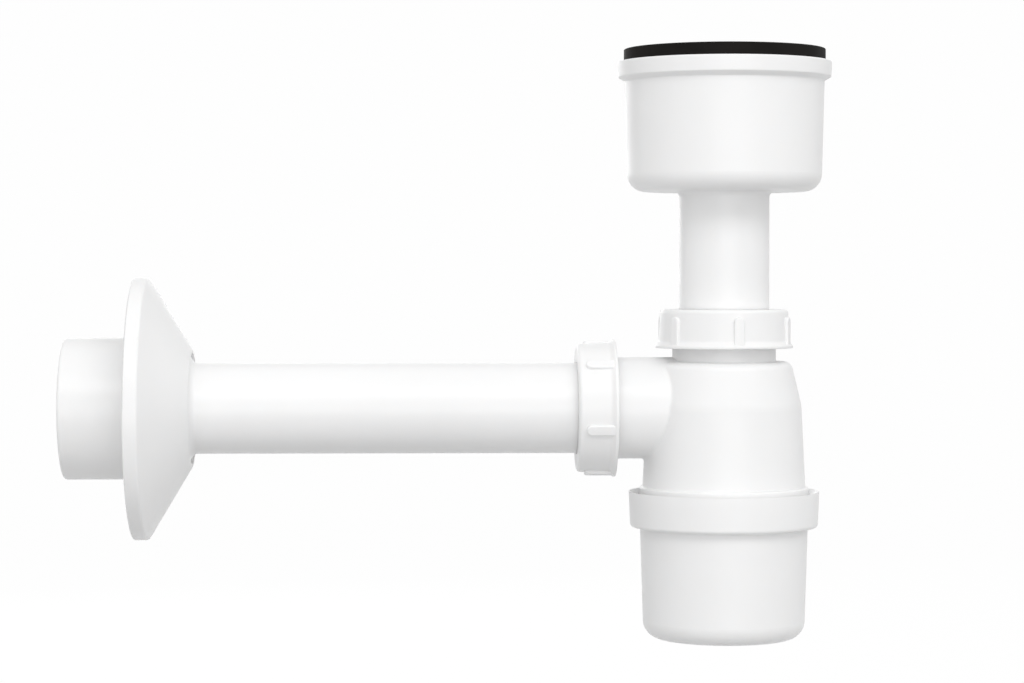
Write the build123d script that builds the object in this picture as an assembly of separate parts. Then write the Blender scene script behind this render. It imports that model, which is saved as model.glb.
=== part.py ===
from build123d import *
import math
import os

# A urinal bottle trap of moulded polypropylene.
# The urinal drains through a rubber gasket into an inlet cup. The cup's tail tube slides in the neck
# of the trap body, whose dip tube reaches down into the bottle cup. Water leaves round the dip tube
# into the branch and the outlet pipe, whose wide spigot goes into the wall behind a conical rosette.
# Millimetres. The origin is where the outlet pipe's axis meets the face of the wall, X runs along
# the pipe away from the wall, and Z is up.

# Outlet pipe. The reach is from the wall's face to the bottle's upright axis.
REACH = 208.6
SPIGOT_INSERT = 24.7
PIPE_R = 16.0
PIPE_WALL = 1.8
SPIGOT_R = 25.0
SPIGOT_END_ROUND = 1.2
REDUCER_OUTER_ROUND = 1.5
REDUCER_INNER_ROUND = 2.0
PIPE_END_ROUND = 0.6

# Rosette, a hollow cone that covers the hole in the wall and seats on the pipe's reducer
ROSETTE_DEPTH = 20.2
ROSETTE_BAND = 4.9
ROSETTE_R = 46.4
ROSETTE_HOLE_GAP = 3.6
ROSETTE_HOLE_EDGE = 1.2
ROSETTE_WALL = 1.5
ROSETTE_RIM_ROUND = 0.5
ROSETTE_SHOULDER_ROUND = 1.2
ROSETTE_SEAT_GAP = 0.3

# Sliding joint between a tube and the end that holds it, the same at the inlet and the outlet
SLIDE_CLEARANCE = 0.35
SEAT_RISE = 2.55
SEAT_DEPTH = 4.5
END_RIM = 0.9
END_LENGTH = 7.5
END_CHAMFER = 0.4
THREAD_DEPTH = 0.9
THREAD_START = 1.0

# Union nut
NUT_LENGTH = 13.7
NUT_WALL = 2.1
NUT_DRAFT = 0.5
NUT_LIP_FLARE = 1.2
NUT_LIP_HEIGHT = 0.9
NUT_FLARE_HEIGHT = 1.5
NUT_FLARE_ROUND = 1.6
NUT_LIP_ROUND = 0.35
NUT_CROWN_ROUND = 1.3
NUT_CROWN_WALL = 2.0
NUT_HOLE_CLEARANCE = 0.45
THREAD_CLEARANCE = 0.4
RIB_COUNT = 6
RIB_WIDTH = 3.7
RIB_TOP = 11.2
RIB_SET_BACK = 0.3
RIB_ROUND = 0.5
INLET_RIB_ANGLE = 37.0
OUTLET_RIB_ANGLE = 13.0

# Cone seal
SEAL_FIT = 0.05
SEAL_LIFT = 0.45
SEAL_TIP_WALL = 0.6
SEAL_SET_BACK = 0.1
SEAL_CROWN_GAP = 0.25
SEAL_ROUND = 0.5

# Trap body. Its shoulder and its skirt are above and below the outlet pipe's axis.
BODY_WALL = 2.0
SHOULDER_Z = 16.5
SHOULDER_ROOM = 3.65
SHOULDER_ROUND = 3.4
WAIST_Z = 0.9
WAIST_STEP = 1.45
WAIST_ROUND = 14.0
SKIRT_R = 28.9
SKIRT_DEPTH = 29.7
NECK_LENGTH = 4.8
NECK_WALL = 2.05
BRANCH_LENGTH = 10.0
BRANCH_WALL = 1.65
BRANCH_BLEND = 1.2
PIPE_SOCKET_DEPTH = 12.8
PIPE_STOP_GAP = 3.0
DIP_TUBE_WALL = 1.8
DIP_END_GAP = 10.4

# Foot of the body, which screws into the bottle cup
BEAD_STEP = 1.1
BEAD_HEIGHT = 2.6
BEAD_RISE = 1.6
BEAD_ROUND = 0.5
GROOVE_STEP = 0.4
GROOVE_HEIGHT = 1.2
FOOT_STEP = 1.3
FOOT_CHAMFER = 0.6

# Bottle cup, whose collar holds the foot
COLLAR_HEIGHT = 12.6
COLLAR_WALL = 2.3
COLLAR_DRAFT = 0.5
COLLAR_ROUND = 1.3
COLLAR_LEDGE_WALL = 1.8
MOUTH_EDGE = 0.5
MOUTH_DEPTH = 2.0
BOWL_SET_BACK = 4.0
BOWL_DRAFT = 1.25
BOWL_HEIGHT = 39.7
BOWL_WALL = 2.1
BOWL_ROUND = 6.5
BOWL_ROOT_ROUND = 0.8

# Flat ring seal between the foot and the bottle cup
RING_THICKNESS = 2.4
RING_WIDTH = 3.1
RING_GAP = 0.25
RING_ROUND = 0.4

# Inlet cup and its tail tube, which is measured up and down from the plane of the inlet nut's lip
TAIL_LENGTH = 55.5
TAIL_INSERT = 26.3
TAIL_ROOT_ROUND = 2.0
CUP_R = 35.35
CUP_HEIGHT = 45.9
CUP_WALL = 2.0
CUP_DRAFT = 1.0
CUP_ROUND = 6.2
CUP_THROAT_ROUND = 1.7
FLANGE_WIDTH = 2.65
FLANGE_DRAFT = 0.3
FLANGE_HEIGHT = 5.5
FLANGE_SLOPE = 1.4
FLANGE_ROUND = 0.6
FLANGE_ROOT_ROUND = 0.8

# Inlet gasket
GASKET_SET_BACK = 2.3
GASKET_HOLE_R = 25.0
GASKET_HEIGHT = 4.4
GASKET_TOP_ROUND = 0.4
GASKET_EDGE_ROUND = 0.5
GASKET_SKIRT_CLEARANCE = 0.3
GASKET_SKIRT_WALL = 1.8
GASKET_SKIRT_DEPTH = 8.0

# Pipe, rosette and sliding joint, worked out from the sizes above
BORE_R = PIPE_R + SLIDE_CLEARANCE
PIPE_BORE_R = PIPE_R - PIPE_WALL
SPIGOT_BORE_R = SPIGOT_R - PIPE_WALL
ROSETTE_HOLE_R = PIPE_R + ROSETTE_HOLE_GAP
ROSETTE_RISE = ROSETTE_R - ROSETTE_HOLE_R - ROSETTE_HOLE_EDGE
ROSETTE_RUN = ROSETTE_DEPTH - ROSETTE_BAND
ROSETTE_AXIAL_SHARE = math.hypot(ROSETTE_RISE, ROSETTE_RUN) / ROSETTE_RISE
SEAT_R = BORE_R + SEAT_RISE
THREAD_ROOT_R = SEAT_R + END_RIM
NUT_BORE_R = THREAD_ROOT_R + THREAD_DEPTH + THREAD_CLEARANCE
NUT_R = NUT_BORE_R + NUT_WALL
NUT_LIP_R = NUT_R + NUT_LIP_FLARE

# Trap body, worked out from the dip tube outwards and from the outlet pipe's axis up and down
DIP_TUBE_R = BORE_R + DIP_TUBE_WALL
SHOULDER_R = DIP_TUBE_R + SHOULDER_ROOM + BODY_WALL
WAIST_R = SKIRT_R - WAIST_STEP
CAVITY_R = SKIRT_R - BODY_WALL
INLET_LIP_Z = SHOULDER_Z + NECK_LENGTH
OUTLET_LIP_X = SKIRT_R + BRANCH_LENGTH
PIPE_STOP_X = OUTLET_LIP_X - PIPE_SOCKET_DEPTH
PIPE_END_X = REACH - PIPE_STOP_X - PIPE_STOP_GAP
COLLAR_TOP_Z = -SKIRT_DEPTH
BEAD_TOP_Z = COLLAR_TOP_Z + BEAD_RISE
BEAD_FOOT_Z = BEAD_TOP_Z - BEAD_HEIGHT
GROOVE_FOOT_Z = BEAD_FOOT_Z - GROOVE_HEIGHT
FOOT_ROOT_R = SKIRT_R + FOOT_STEP

# Bottle cup, worked out from the foot outwards and from its collar down
COLLAR_BORE_R = FOOT_ROOT_R + THREAD_DEPTH + THREAD_CLEARANCE
COLLAR_R = COLLAR_BORE_R + COLLAR_WALL
COLLAR_FOOT_Z = COLLAR_TOP_Z - COLLAR_HEIGHT
LEDGE_Z = COLLAR_FOOT_Z + COLLAR_LEDGE_WALL
RING_TOP_Z = LEDGE_Z + RING_GAP + RING_THICKNESS
BODY_FOOT_Z = RING_TOP_Z + RING_GAP
BOWL_R = COLLAR_R - BOWL_SET_BACK
BOWL_FOOT_R = BOWL_R - BOWL_DRAFT
BOWL_FOOT_Z = COLLAR_FOOT_Z - BOWL_HEIGHT
BOWL_FLOOR_Z = BOWL_FOOT_Z + BOWL_WALL
DIP_END_Z = BOWL_FLOOR_Z + DIP_END_GAP

# Inlet cup, worked out from the plane of the inlet nut's lip
TAIL_END_Z = INLET_LIP_Z - TAIL_INSERT
CUP_FLOOR_Z = INLET_LIP_Z + TAIL_LENGTH
CUP_FOOT_R = CUP_R - CUP_DRAFT
FLANGE_TOP_Z = CUP_FLOOR_Z + CUP_HEIGHT
FLANGE_FOOT_Z = FLANGE_TOP_Z - FLANGE_HEIGHT
FLANGE_R = CUP_R + FLANGE_WIDTH

UPRIGHT_AXIS = Pos(REACH, 0, 0)
INLET_END = Pos(REACH, 0, INLET_LIP_Z)
OUTLET_END = Plane(origin=(REACH - OUTLET_LIP_X, 0, 0), x_dir=(0, 0, 1), z_dir=(-1, 0, 0)).location


def turned(corners, axis=Axis.Z):
    """Turns a closed section about an axis. A corner is two places in the XZ plane and its rounding."""
    face = Face(Wire(Polyline(*[(across, up) for across, up, _ in corners], close=True).edges()))
    for across, up, rounding in corners:
        if rounding:
            corner = face.vertices().sort_by_distance((across, up, 0))[0]
            face = face.fillet_2d(rounding, [corner])
    return revolve(Plane.XZ * face, axis)


def drum(radius, low, high):
    """A plain upright cylinder between two heights."""
    return Pos(0, 0, low) * extrude(Circle(radius), high - low)


def rosette_cone_x(radius, depth_below):
    """Where a cone that lies so deep below the rosette's outer face has the given radius."""
    slope_x = ROSETTE_BAND + (ROSETTE_R - radius) * ROSETTE_RUN / ROSETTE_RISE
    return slope_x - depth_below * ROSETTE_AXIAL_SHARE


def seat_height(radius):
    """Height of the conical seat in a tube's end, above the plane of the nut's lip."""
    return END_LENGTH - (SEAT_R - radius) * SEAT_DEPTH / (SEAT_R - BORE_R)


def outlet_pipe():
    reducer_depth = ROSETTE_WALL + ROSETTE_SEAT_GAP
    bore_depth = reducer_depth + PIPE_WALL
    return turned(
        [
            (-SPIGOT_INSERT, SPIGOT_R, SPIGOT_END_ROUND),
            (rosette_cone_x(SPIGOT_R, reducer_depth), SPIGOT_R, REDUCER_OUTER_ROUND),
            (rosette_cone_x(PIPE_R, reducer_depth), PIPE_R, REDUCER_INNER_ROUND),
            (PIPE_END_X, PIPE_R, PIPE_END_ROUND),
            (PIPE_END_X, PIPE_BORE_R, 0),
            (rosette_cone_x(PIPE_BORE_R, bore_depth), PIPE_BORE_R, 0),
            (rosette_cone_x(SPIGOT_BORE_R, bore_depth), SPIGOT_BORE_R, 0),
            (-SPIGOT_INSERT, SPIGOT_BORE_R, 0),
        ],
        Axis.X,
    )


def wall_rosette():
    band_bore_r = ROSETTE_R - ROSETTE_WALL
    return turned(
        [
            (0, ROSETTE_R, ROSETTE_RIM_ROUND),
            (ROSETTE_BAND, ROSETTE_R, ROSETTE_SHOULDER_ROUND),
            (ROSETTE_DEPTH, ROSETTE_HOLE_R + ROSETTE_HOLE_EDGE, ROSETTE_HOLE_EDGE),
            (ROSETTE_DEPTH, ROSETTE_HOLE_R, 0),
            (rosette_cone_x(ROSETTE_HOLE_R, ROSETTE_WALL), ROSETTE_HOLE_R, 0),
            (rosette_cone_x(band_bore_r, ROSETTE_WALL), band_bore_r, 0),
            (0, band_bore_r, ROSETTE_RIM_ROUND),
        ],
        Axis.X,
    )


def union_nut(rib_angle):
    """A union nut on the lip plane, its crown up. The angle is that of one rib."""
    hole_r = PIPE_R + NUT_HOLE_CLEARANCE
    crown_inside = NUT_LENGTH - NUT_CROWN_WALL
    nut = turned(
        [
            (hole_r, NUT_LENGTH, 0),
            (NUT_R - NUT_DRAFT, NUT_LENGTH, NUT_CROWN_ROUND),
            (NUT_R, NUT_LIP_HEIGHT + NUT_FLARE_HEIGHT, NUT_FLARE_ROUND),
            (NUT_LIP_R, NUT_LIP_HEIGHT, NUT_LIP_ROUND),
            (NUT_LIP_R, 0, NUT_LIP_ROUND),
            (NUT_BORE_R, 0, 0),
            (NUT_BORE_R, crown_inside, 0),
            (hole_r, crown_inside, 0),
        ]
    )
    wall_middle = (NUT_R + NUT_BORE_R) / 2
    round_r = RIB_WIDTH / 2
    outline = Pos(RIB_TOP / 2, 0) * SlotOverall(RIB_TOP, RIB_WIDTH)
    outline += Pos(round_r / 2, 0) * Rectangle(round_r, RIB_WIDTH)
    rib = extrude(Plane(origin=(wall_middle, 0, 0), x_dir=(0, 0, 1), z_dir=(1, 0, 0)) * outline, NUT_LIP_R)
    rib &= drum(NUT_LIP_R - RIB_SET_BACK, 0, RIB_TOP)
    outer_face = rib.faces().sort_by(SortBy.DISTANCE)[-1]
    face_edges = [edge for edge in outer_face.edges() if edge.center().Z > round_r / 2]
    rib = fillet(face_edges, RIB_ROUND)
    for place in range(RIB_COUNT):
        nut += Rot(0, 0, rib_angle + place * 360 / RIB_COUNT) * rib
    return nut


def cone_seal():
    """The seal between a tube and the seat in its end, on the lip plane."""
    fit_r = PIPE_R + SEAL_FIT
    tip_r = fit_r + SEAL_TIP_WALL
    outer_r = THREAD_ROOT_R - SEAL_SET_BACK
    top = NUT_LENGTH - NUT_CROWN_WALL - SEAL_CROWN_GAP
    return turned(
        [
            (fit_r, top, 0),
            (outer_r, top, SEAL_ROUND),
            (outer_r, seat_height(outer_r) + SEAL_LIFT, 0),
            (tip_r, seat_height(tip_r) + SEAL_LIFT, 0),
            (fit_r, seat_height(tip_r) + SEAL_LIFT, 0),
        ]
    )


def threaded_end(plain_r, root):
    """The end of a socket, solid, from its root up past the lip plane to the seat's mouth."""
    return turned(
        [
            (0, root, 0),
            (plain_r, root, 0),
            (plain_r, THREAD_START, 0),
            (THREAD_ROOT_R, THREAD_START, 0),
            (THREAD_ROOT_R, END_LENGTH - END_CHAMFER, 0),
            (THREAD_ROOT_R - END_CHAMFER, END_LENGTH, 0),
            (0, END_LENGTH, 0),
        ]
    )


def end_bore(root):
    """What is cut out of such an end: the bore, and the conical seat at its mouth."""
    return turned(
        [
            (0, root, 0),
            (BORE_R, root, 0),
            (BORE_R, seat_height(BORE_R), 0),
            (SEAT_R, END_LENGTH, 0),
            (SEAT_R, END_LENGTH + 1, 0),
            (0, END_LENGTH + 1, 0),
        ]
    )


def body_shell():
    """The bell of the body with its threaded foot, solid, before it is hollowed."""
    return turned(
        [
            (0, SHOULDER_Z, 0),
            (SHOULDER_R, SHOULDER_Z, SHOULDER_ROUND),
            (WAIST_R, WAIST_Z, WAIST_ROUND),
            (SKIRT_R, BEAD_TOP_Z, BEAD_ROUND),
            (SKIRT_R + BEAD_STEP, BEAD_TOP_Z, BEAD_ROUND),
            (SKIRT_R + BEAD_STEP, BEAD_FOOT_Z, 0),
            (SKIRT_R + GROOVE_STEP, BEAD_FOOT_Z, 0),
            (SKIRT_R + GROOVE_STEP, GROOVE_FOOT_Z, 0),
            (FOOT_ROOT_R, GROOVE_FOOT_Z, 0),
            (FOOT_ROOT_R, BODY_FOOT_Z + FOOT_CHAMFER, 0),
            (FOOT_ROOT_R - FOOT_CHAMFER, BODY_FOOT_Z, 0),
            (0, BODY_FOOT_Z, 0),
        ]
    )


def body_cavity():
    """The space between the body's wall and the dip tube."""
    return turned(
        [
            (DIP_TUBE_R, SHOULDER_Z - BODY_WALL, 0),
            (SHOULDER_R - BODY_WALL, SHOULDER_Z - BODY_WALL, SHOULDER_ROUND - BODY_WALL),
            (WAIST_R - BODY_WALL, WAIST_Z, WAIST_ROUND - BODY_WALL),
            (CAVITY_R, BEAD_TOP_Z, 0),
            (CAVITY_R, BODY_FOOT_Z - 1, 0),
            (DIP_TUBE_R, BODY_FOOT_Z - 1, 0),
        ]
    )


def trap_body():
    """One moulding: bell, neck, branch and dip tube."""
    bell = body_shell()
    branch = Pos(-REACH, 0, 0) * OUTLET_END * threaded_end(BORE_R + BRANCH_WALL, PIPE_BORE_R - OUTLET_LIP_X)
    outside = bell + branch
    outside = fillet(new_edges(bell, branch, combined=outside), BRANCH_BLEND)
    outside += Pos(0, 0, INLET_LIP_Z) * threaded_end(BORE_R + NECK_WALL, -INLET_LIP_Z)
    inside = body_cavity()
    inside += Pos(-REACH, 0, 0) * OUTLET_END * end_bore(PIPE_STOP_X - OUTLET_LIP_X)
    passage = Plane(origin=(-PIPE_STOP_X - 1, 0, 0), x_dir=(0, 1, 0), z_dir=(1, 0, 0)) * Circle(PIPE_BORE_R)
    inside += extrude(passage, PIPE_STOP_X + 1)
    dip_tube = drum(DIP_TUBE_R, DIP_END_Z, SHOULDER_Z)
    down_bore = Pos(0, 0, INLET_LIP_Z) * end_bore(DIP_END_Z - INLET_LIP_Z - 1)
    return UPRIGHT_AXIS * (outside - inside + dip_tube - down_bore)


def ring_seal():
    outer_r = COLLAR_BORE_R - RING_GAP
    inner_r = outer_r - RING_WIDTH
    return UPRIGHT_AXIS * turned(
        [
            (inner_r, RING_TOP_Z, RING_ROUND),
            (outer_r, RING_TOP_Z, RING_ROUND),
            (outer_r, RING_TOP_Z - RING_THICKNESS, RING_ROUND),
            (inner_r, RING_TOP_Z - RING_THICKNESS, RING_ROUND),
        ]
    )


def bottle_cup():
    """One moulding: bowl and threaded collar."""
    bowl_bore_r = BOWL_R - BOWL_WALL
    return UPRIGHT_AXIS * turned(
        [
            (COLLAR_R - MOUTH_EDGE, COLLAR_TOP_Z, 0),
            (COLLAR_R, COLLAR_TOP_Z, 0),
            (COLLAR_R - COLLAR_DRAFT, COLLAR_FOOT_Z, COLLAR_ROUND),
            (BOWL_R, COLLAR_FOOT_Z, BOWL_ROOT_ROUND),
            (BOWL_FOOT_R, BOWL_FOOT_Z, BOWL_ROUND),
            (0, BOWL_FOOT_Z, 0),
            (0, BOWL_FLOOR_Z, 0),
            (BOWL_FOOT_R - BOWL_WALL, BOWL_FLOOR_Z, BOWL_ROUND - BOWL_WALL),
            (bowl_bore_r, LEDGE_Z, 0),
            (COLLAR_BORE_R, LEDGE_Z, 0),
            (COLLAR_BORE_R, COLLAR_TOP_Z - MOUTH_DEPTH, 0),
        ]
    )


def inlet_cup():
    """One moulding: flanged cup and tail tube."""
    throat_z = CUP_FLOOR_Z + CUP_WALL
    root_z = FLANGE_FOOT_Z - FLANGE_SLOPE
    return UPRIGHT_AXIS * turned(
        [
            (CUP_R - CUP_WALL, FLANGE_TOP_Z, 0),
            (FLANGE_R, FLANGE_TOP_Z, FLANGE_ROUND),
            (FLANGE_R - FLANGE_DRAFT, FLANGE_FOOT_Z, FLANGE_ROUND),
            (CUP_R, root_z, FLANGE_ROOT_ROUND),
            (CUP_FOOT_R, CUP_FLOOR_Z, CUP_ROUND),
            (PIPE_R, CUP_FLOOR_Z, TAIL_ROOT_ROUND),
            (PIPE_R, TAIL_END_Z, PIPE_END_ROUND),
            (PIPE_BORE_R, TAIL_END_Z, 0),
            (PIPE_BORE_R, throat_z, CUP_THROAT_ROUND),
            (CUP_FOOT_R - CUP_WALL, throat_z, CUP_ROUND - CUP_WALL),
            (CUP_R - CUP_WALL, root_z, 0),
        ]
    )


def inlet_gasket():
    """A flat rubber ring on the flange, with a skirt that centres it in the cup."""
    outer_r = FLANGE_R - GASKET_SET_BACK
    skirt_r = CUP_R - CUP_WALL - GASKET_SKIRT_CLEARANCE
    skirt_foot_z = FLANGE_TOP_Z - GASKET_SKIRT_DEPTH
    top_z = FLANGE_TOP_Z + GASKET_HEIGHT
    return UPRIGHT_AXIS * turned(
        [
            (GASKET_HOLE_R, top_z, GASKET_EDGE_ROUND),
            (outer_r, top_z, GASKET_TOP_ROUND),
            (outer_r, FLANGE_TOP_Z, GASKET_EDGE_ROUND),
            (skirt_r, FLANGE_TOP_Z, 0),
            (skirt_r, skirt_foot_z, GASKET_EDGE_ROUND),
            (skirt_r - GASKET_SKIRT_WALL, skirt_foot_z, GASKET_EDGE_ROUND),
            (skirt_r - GASKET_SKIRT_WALL, FLANGE_TOP_Z, 0),
            (GASKET_HOLE_R, FLANGE_TOP_Z, GASKET_EDGE_ROUND),
        ]
    )


PIECES = {
    "outlet_pipe": outlet_pipe(),
    "wall_rosette": wall_rosette(),
    "outlet_nut": OUTLET_END * union_nut(OUTLET_RIB_ANGLE),
    "outlet_cone_seal": OUTLET_END * cone_seal(),
    "trap_body": trap_body(),
    "bottle_seal": ring_seal(),
    "bottle_cup": bottle_cup(),
    "inlet_nut": INLET_END * union_nut(INLET_RIB_ANGLE),
    "inlet_cone_seal": INLET_END * cone_seal(),
    "inlet_cup": inlet_cup(),
    "inlet_gasket": inlet_gasket(),
}

os.makedirs("parts", exist_ok=True)
for name, piece in PIECES.items():
    export_step(piece, f"parts/{name}.step")
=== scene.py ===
import math

import bmesh
import bpy
from mathutils import Matrix, Vector


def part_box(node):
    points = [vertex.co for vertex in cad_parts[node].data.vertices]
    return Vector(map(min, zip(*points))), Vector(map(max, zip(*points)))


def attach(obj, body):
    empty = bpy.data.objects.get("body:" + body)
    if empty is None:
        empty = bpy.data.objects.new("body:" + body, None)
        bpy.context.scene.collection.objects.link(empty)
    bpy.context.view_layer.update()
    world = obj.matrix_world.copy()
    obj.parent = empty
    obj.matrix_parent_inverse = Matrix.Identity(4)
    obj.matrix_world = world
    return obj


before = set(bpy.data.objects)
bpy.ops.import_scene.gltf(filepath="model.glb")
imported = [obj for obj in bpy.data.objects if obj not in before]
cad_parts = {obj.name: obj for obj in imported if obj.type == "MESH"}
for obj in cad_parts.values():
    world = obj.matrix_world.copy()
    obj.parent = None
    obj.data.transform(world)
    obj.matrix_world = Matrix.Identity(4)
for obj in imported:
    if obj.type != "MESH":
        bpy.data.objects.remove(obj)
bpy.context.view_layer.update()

# The camera stands square to the outlet pipe, a metre in front of it, a little above the pipe and left of
# the bottle, and is turned to the picture's centre.
MM = 0.001
PICTURE_WIDTH = 1024
PIXELS_PER_MM = 2.82
CAMERA_DISTANCE = 1.0
CAMERA_X = 100.6 * MM
CAMERA_Z = 47.2 * MM
AIM_X = 133.2 * MM
AIM_Z = 23.6 * MM
SENSOR_MM = 36
CLIP_START = 0.01
CLIP_END = 30

# The cove, in metres. Its white is mostly a glow, which only the picture and gloss show, over a grey.
FLOOR_Z = -260 * MM
COVE_HALF_WIDTH = 3.2
COVE_FRONT_Y = -3.0
COVE_BACK_Y = 2.2
COVE_RADIUS = 1.2
COVE_HEIGHT = 3.0
COVE_STEPS = 24
COVE_GREY = 0.5
COVE_ROUGHNESS = 0.9
GLOW_STRENGTH = 1.06
GLOW_SHARE = 0.9

# The lamps and the world. Each soft box has its name, place, width and height in metres, and its watts.
SOFT_BOXES = (
    ("key_box", (0.35, -1.45, 1.25), 2.4, 0.6, 12.2),
    ("low_box", (0.30, -1.80, -0.05), 1.4, 0.3, 4.95),
    ("back_box", (-0.30, 1.70, 0.25), 1.2, 0.5, 2.4),
)
LAMPS_AIM = (0.12, 0, 0.02)
AMBIENT_STRENGTH = 0.757
BACKGROUND_STRENGTH = 1.0

# The useful range of a noise, and how high the finest forms of the two materials stand
NOISE_LOW = 0.3
NOISE_HIGH = 0.7
WAVE_HEIGHT = 0.06 * MM
PLASTIC_GRAIN_HEIGHT = 0.004 * MM
RUBBER_GRAIN_HEIGHT = 0.02 * MM

RUBBER_NODES = ("outlet_cone_seal", "bottle_seal", "inlet_cone_seal", "inlet_gasket")

# The threads have the same pitch on the unions and on the bottle.
PITCH = 3.0 * MM
THREAD_DEPTH = 0.9 * MM
THREAD_SUNK = 0.1 * MM
THREAD_FOOT_WIDTH = 1.9 * MM
THREAD_CREST_WIDTH = 0.9 * MM
THREAD_STEPS = 72
THREAD_FADE_TURN = 0.2
THREAD_CLEARANCE = 0.4 * MM
SEAL_SET_BACK = 0.1 * MM
RING_GAP = 0.25 * MM

# How far each thread starts above its place, and its turns
NECK_THREAD = (2.3 * MM, 1.3)
NUT_THREAD = (3.8 * MM, 2.2)
FOOT_THREAD = (3.4 * MM, 1.0)
COLLAR_THREAD = (3.1 * MM, 1.4)


def camera():
    """The photograph's camera."""
    place = Vector((CAMERA_X, -CAMERA_DISTANCE, CAMERA_Z))
    aim = Vector((AIM_X, 0, AIM_Z))
    data = bpy.data.cameras.new("camera")
    data.sensor_width = SENSOR_MM
    focal_pixels = PIXELS_PER_MM / MM * (aim - place).length
    data.lens = focal_pixels * SENSOR_MM / PICTURE_WIDTH
    data.clip_start = CLIP_START
    data.clip_end = CLIP_END
    body = bpy.data.objects.new("camera", data)
    body.location = place
    body.rotation_euler = (aim - place).to_track_quat("-Z", "Y").to_euler()
    bpy.context.scene.collection.objects.link(body)
    bpy.context.scene.camera = body


def soft_light(name, place, aim, width, height, watts):
    """A rectangular soft box that faces a point."""
    data = bpy.data.lights.new(name, "AREA")
    data.shape = "RECTANGLE"
    data.size = width
    data.size_y = height
    data.energy = watts
    body = bpy.data.objects.new(name, data)
    body.location = place
    body.rotation_euler = (Vector(aim) - Vector(place)).to_track_quat("-Z", "Y").to_euler()
    bpy.context.scene.collection.objects.link(body)


class Shader:
    """A small helper that makes and links the nodes of one material."""

    def __init__(self, name):
        self.material = bpy.data.materials.new(name)
        self.material.use_nodes = True
        self.nodes = self.material.node_tree.nodes
        self.nodes.clear()
        self.surface = self.add("ShaderNodeBsdfPrincipled")
        self.output = self.add("ShaderNodeOutputMaterial")
        self.link(self.surface, "BSDF", self.output, "Surface")

    def add(self, kind, **settings):
        """Makes a node. Each setting is one of its properties, or one of its inputs with _ for a space."""
        node = self.nodes.new(kind)
        for key, value in settings.items():
            if hasattr(node, key):
                setattr(node, key, value)
            else:
                node.inputs[key.replace("_", " ")].default_value = value
        return node

    def link(self, source, output, target, field):
        """Links one node's output to another's input."""
        self.material.node_tree.links.new(source.outputs[output], target.inputs[field])

    def noise(self, scale, detail, roughness):
        """Noise that is fixed to the piece, its scale in features to the metre."""
        place = self.add("ShaderNodeTexCoord")
        noise = self.add("ShaderNodeTexNoise", Scale=scale, Detail=detail, Roughness=roughness)
        self.link(place, "Object", noise, "Vector")
        return noise

    def between(self, source, low, high):
        """Maps a noise's useful range to low..high."""
        useful = {"From_Min": NOISE_LOW, "From_Max": NOISE_HIGH}
        spread = self.add("ShaderNodeMapRange", **useful, To_Min=low, To_Max=high)
        self.link(source, "Fac", spread, "Value")
        return spread

    def tints(self, source, dark, light):
        """Maps a noise's useful range to two colours."""
        ramp = self.add("ShaderNodeValToRGB")
        low, high = ramp.color_ramp.elements
        low.position = NOISE_LOW
        low.color = (*dark, 1)
        high.position = NOISE_HIGH
        high.color = (*light, 1)
        self.link(source, "Fac", ramp, "Fac")
        return ramp

    def bump(self, source, height, before=None):
        """Bump of a real height, in metres, on top of an earlier one."""
        bump = self.add("ShaderNodeBump", Strength=1.0, Distance=height)
        self.link(source, "Fac", bump, "Height")
        if before:
            self.link(before, "Normal", bump, "Normal")
        return bump


def white_plastic():
    """Moulded polypropylene: satin, faintly translucent, with the slight waviness of a moulding."""
    shader = Shader("white_polypropylene")
    cloud = shader.noise(scale=22, detail=3, roughness=0.5)
    grain = shader.noise(scale=2600, detail=2, roughness=0.6)
    waves = shader.noise(scale=60, detail=1, roughness=0.4)
    patches = shader.noise(scale=140, detail=4, roughness=0.6)
    colour = shader.tints(cloud, (0.897, 0.897, 0.897), (0.916, 0.916, 0.916))
    shader.link(colour, "Color", shader.surface, "Base Color")
    rough = shader.between(patches, 0.30, 0.38)
    shader.link(rough, "Result", shader.surface, "Roughness")
    wavy = shader.bump(waves, WAVE_HEIGHT)
    grained = shader.bump(grain, PLASTIC_GRAIN_HEIGHT, before=wavy)
    shader.link(grained, "Normal", shader.surface, "Normal")
    shader.surface.inputs["IOR"].default_value = 1.49
    shader.surface.inputs["Specular IOR Level"].default_value = 0.42
    shader.surface.inputs["Subsurface Weight"].default_value = 0.25
    shader.surface.inputs["Subsurface Radius"].default_value = (1.0, 0.95, 0.9)
    shader.surface.inputs["Subsurface Scale"].default_value = 0.0015
    return shader.material


def black_rubber():
    """Matte black rubber with a fine grain and a greyer bloom in patches."""
    shader = Shader("black_rubber")
    bloom = shader.noise(scale=90, detail=5, roughness=0.6)
    grain = shader.noise(scale=1800, detail=3, roughness=0.7)
    colour = shader.tints(bloom, (0.005, 0.0045, 0.004), (0.012, 0.0105, 0.0095))
    shader.link(colour, "Color", shader.surface, "Base Color")
    rough = shader.between(bloom, 0.60, 0.78)
    shader.link(rough, "Result", shader.surface, "Roughness")
    grained = shader.bump(grain, RUBBER_GRAIN_HEIGHT)
    shader.link(grained, "Normal", shader.surface, "Normal")
    shader.surface.inputs["IOR"].default_value = 1.45
    shader.surface.inputs["Specular IOR Level"].default_value = 0.12
    return shader.material


def seen_rays(tree):
    """An output that is 1 for the rays that show the background: the camera's, gloss's and glass's."""
    path = tree.nodes.new("ShaderNodeLightPath")
    seen = path.outputs["Is Camera Ray"]
    for kind in ("Is Glossy Ray", "Is Transmission Ray"):
        either = tree.nodes.new("ShaderNodeMath")
        either.operation = "MAXIMUM"
        tree.links.new(seen, either.inputs[0])
        tree.links.new(path.outputs[kind], either.inputs[1])
        seen = either.outputs["Value"]
    return seen


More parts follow.
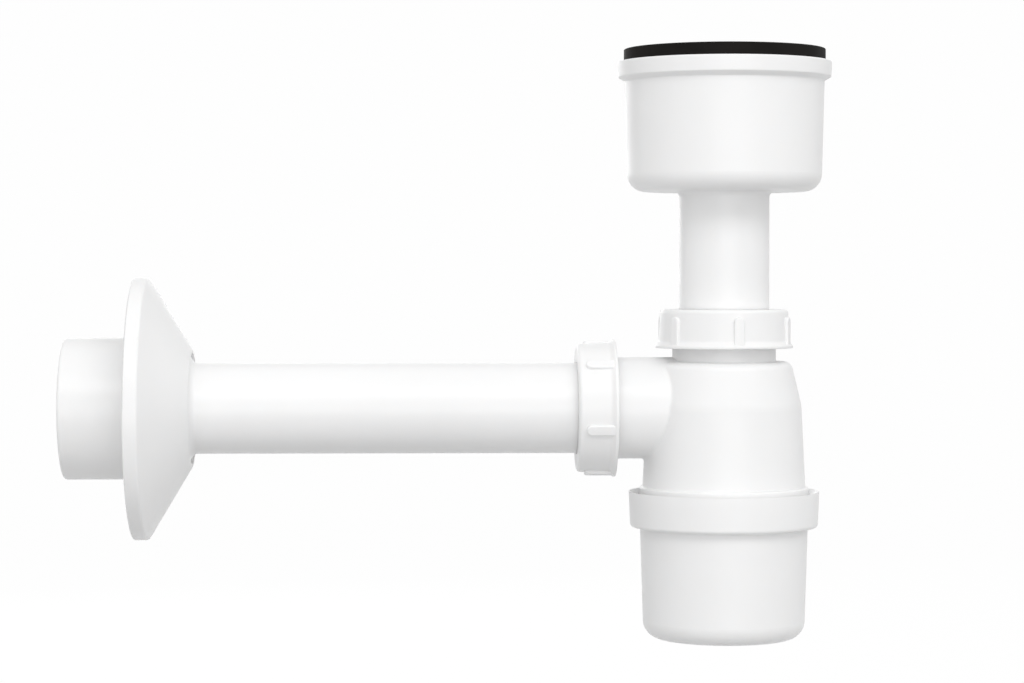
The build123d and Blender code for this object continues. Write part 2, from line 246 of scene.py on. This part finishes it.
def studio_white():
    """The floor's and the backdrop's white: it shows white in the picture and keeps a faint shadow."""
    shader = Shader("studio_white")
    shader.surface.inputs["Base Color"].default_value = (COVE_GREY, COVE_GREY, COVE_GREY, 1)
    shader.surface.inputs["Roughness"].default_value = COVE_ROUGHNESS
    glow = shader.add("ShaderNodeEmission", Color=(1, 1, 1, 1), Strength=GLOW_STRENGTH)
    tree = shader.material.node_tree
    share = shader.add("ShaderNodeMath", operation="MULTIPLY")
    share.inputs[1].default_value = GLOW_SHARE
    tree.links.new(seen_rays(tree), share.inputs[0])
    mix = shader.add("ShaderNodeMixShader")
    shader.link(share, "Value", mix, "Fac")
    shader.link(shader.surface, "BSDF", mix, 1)
    shader.link(glow, "Emission", mix, 2)
    shader.link(mix, "Shader", shader.output, "Surface")
    return shader.material


def cove():
    """A pale floor that curves up into a backdrop."""
    profile = [(COVE_FRONT_Y, FLOOR_Z)]
    for step in range(COVE_STEPS + 1):
        turn = math.radians(90) * step / COVE_STEPS
        y = COVE_BACK_Y + COVE_RADIUS * math.sin(turn)
        profile.append((y, FLOOR_Z + COVE_RADIUS * (1 - math.cos(turn))))
    profile.append((COVE_BACK_Y + COVE_RADIUS, FLOOR_Z + COVE_HEIGHT))
    points = [(side * COVE_HALF_WIDTH, y, z) for y, z in profile for side in (-1, 1)]
    faces = [(2 * i, 2 * i + 1, 2 * i + 3, 2 * i + 2) for i in range(len(profile) - 1)]
    mesh = bpy.data.meshes.new("cove")
    mesh.from_pydata(points, [], faces)
    mesh.shade_smooth()
    mesh.materials.append(studio_white())
    body = bpy.data.objects.new("cove", mesh)
    bpy.context.scene.collection.objects.link(body)


def plain_world():
    """Even light from all sides, and the full white that the picture and gloss show in its place."""
    world = bpy.data.worlds.new("world")
    world.use_nodes = True
    nodes, links = world.node_tree.nodes, world.node_tree.links
    nodes.clear()
    output = nodes.new("ShaderNodeOutputWorld")
    ambient = nodes.new("ShaderNodeBackground")
    ambient.inputs["Color"].default_value = (1, 1, 1, 1)
    ambient.inputs["Strength"].default_value = AMBIENT_STRENGTH
    white = nodes.new("ShaderNodeBackground")
    white.inputs["Color"].default_value = (1, 1, 1, 1)
    white.inputs["Strength"].default_value = BACKGROUND_STRENGTH
    mix = nodes.new("ShaderNodeMixShader")
    links.new(seen_rays(world.node_tree), mix.inputs["Fac"])
    links.new(ambient.outputs["Background"], mix.inputs[1])
    links.new(white.outputs["Background"], mix.inputs[2])
    links.new(mix.outputs["Shader"], output.inputs["Surface"])
    bpy.context.scene.world = world


def studio():
    """The cove, the soft boxes and the world."""
    cove()
    for name, place, width, height, watts in SOFT_BOXES:
        soft_light(name, place, LAMPS_AIM, width, height, watts)
    plain_world()


def thread(name, body, place, root_r, inward, start, turns):
    """A raised right-hand thread about a place's own Z, on a shaft or inside a bore of the given radius.

    Its first turn starts at a height above the place, and both its ends fade into the wall. An inward
    thread runs half a pitch off the one that it meets.
    """
    way = -1 if inward else 1
    crest_r = root_r + way * THREAD_DEPTH
    foot_r = root_r - way * THREAD_SUNK
    phase = 0.5 if inward else 0.0
    steps = round(turns * THREAD_STEPS)
    points = []
    for step in range(steps + 1):
        turned = step / THREAD_STEPS
        fade = min(1.0, turned / THREAD_FADE_TURN, (turns - turned) / THREAD_FADE_TURN)
        fade = max(fade, 0.0)
        top_r = foot_r + (crest_r - foot_r) * fade
        height = start + turned * PITCH
        angle = 2 * math.pi * (height / PITCH + phase)
        for r, half in (
            (foot_r, THREAD_FOOT_WIDTH / 2),
            (top_r, THREAD_CREST_WIDTH / 2),
            (top_r, -THREAD_CREST_WIDTH / 2),
            (foot_r, -THREAD_FOOT_WIDTH / 2),
        ):
            points.append(place @ Vector((r * math.cos(angle), r * math.sin(angle), height + half)))
    faces = [(0, 1, 2, 3), tuple(4 * steps + corner for corner in (3, 2, 1, 0))]
    for step in range(steps):
        for side in range(4):
            after = (side + 1) % 4
            faces.append((4 * step + side, 4 * step + 4 + side, 4 * step + 4 + after, 4 * step + after))
    mesh = bpy.data.meshes.new(name)
    mesh.from_pydata(points, [], faces)
    solid = bmesh.new()
    solid.from_mesh(mesh)
    bmesh.ops.recalc_face_normals(solid, faces=solid.faces)
    solid.to_mesh(mesh)
    solid.free()
    mesh.shade_smooth()
    piece = bpy.data.objects.new(name, mesh)
    bpy.context.scene.collection.objects.link(piece)
    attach(piece, body)
    return piece


def half_width(name):
    """Half of a node's width across the outlet pipe."""
    low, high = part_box(name)
    return (high.y - low.y) / 2


def threads():
    """The threads of both unions and of the bottle, each on the body that carries it."""
    neck_root = half_width("inlet_cone_seal") + SEAL_SET_BACK
    nut_root = neck_root + THREAD_DEPTH + THREAD_CLEARANCE
    collar_root = half_width("bottle_seal") + RING_GAP
    foot_root = collar_root - THREAD_DEPTH - THREAD_CLEARANCE
    cup_low, cup_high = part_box("bottle_cup")
    reach = (cup_low.x + cup_high.x) / 2
    inlet_nut_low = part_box("inlet_nut")[0]
    outlet_nut_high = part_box("outlet_nut")[1]
    to_the_wall = Matrix.Rotation(-math.pi / 2, 4, "Y")
    upside_down = Matrix.Rotation(math.pi, 4, "X")
    places = {
        "inlet": Matrix.Translation((reach, 0, inlet_nut_low.z)),
        "outlet": Matrix.Translation((outlet_nut_high.x, 0, 0)) @ to_the_wall,
        "bottle": Matrix.Translation((reach, 0, cup_high.z)) @ upside_down,
    }
    made = []
    for end in ("inlet", "outlet"):
        place = places[end]
        made.append(thread(f"{end}_neck_thread", "trap", place, neck_root, False, *NECK_THREAD))
        made.append(thread(f"{end}_nut_thread", f"{end}_nut", place, nut_root, True, *NUT_THREAD))
    made.append(thread("foot_thread", "trap", places["bottle"], foot_root, False, *FOOT_THREAD))
    made.append(thread("collar_thread", "bottle", places["bottle"], collar_root, True, *COLLAR_THREAD))
    return made


def dress():
    """Gives every CAD node its material, and adds the threads."""
    plastic = white_plastic()
    rubber = black_rubber()
    for name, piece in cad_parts.items():
        piece.data.materials.clear()
        piece.data.materials.append(rubber if name in RUBBER_NODES else plastic)
    for piece in threads():
        piece.data.materials.append(plastic)


camera()
studio()
dress()

bpy.context.scene.view_settings.view_transform = "Standard"
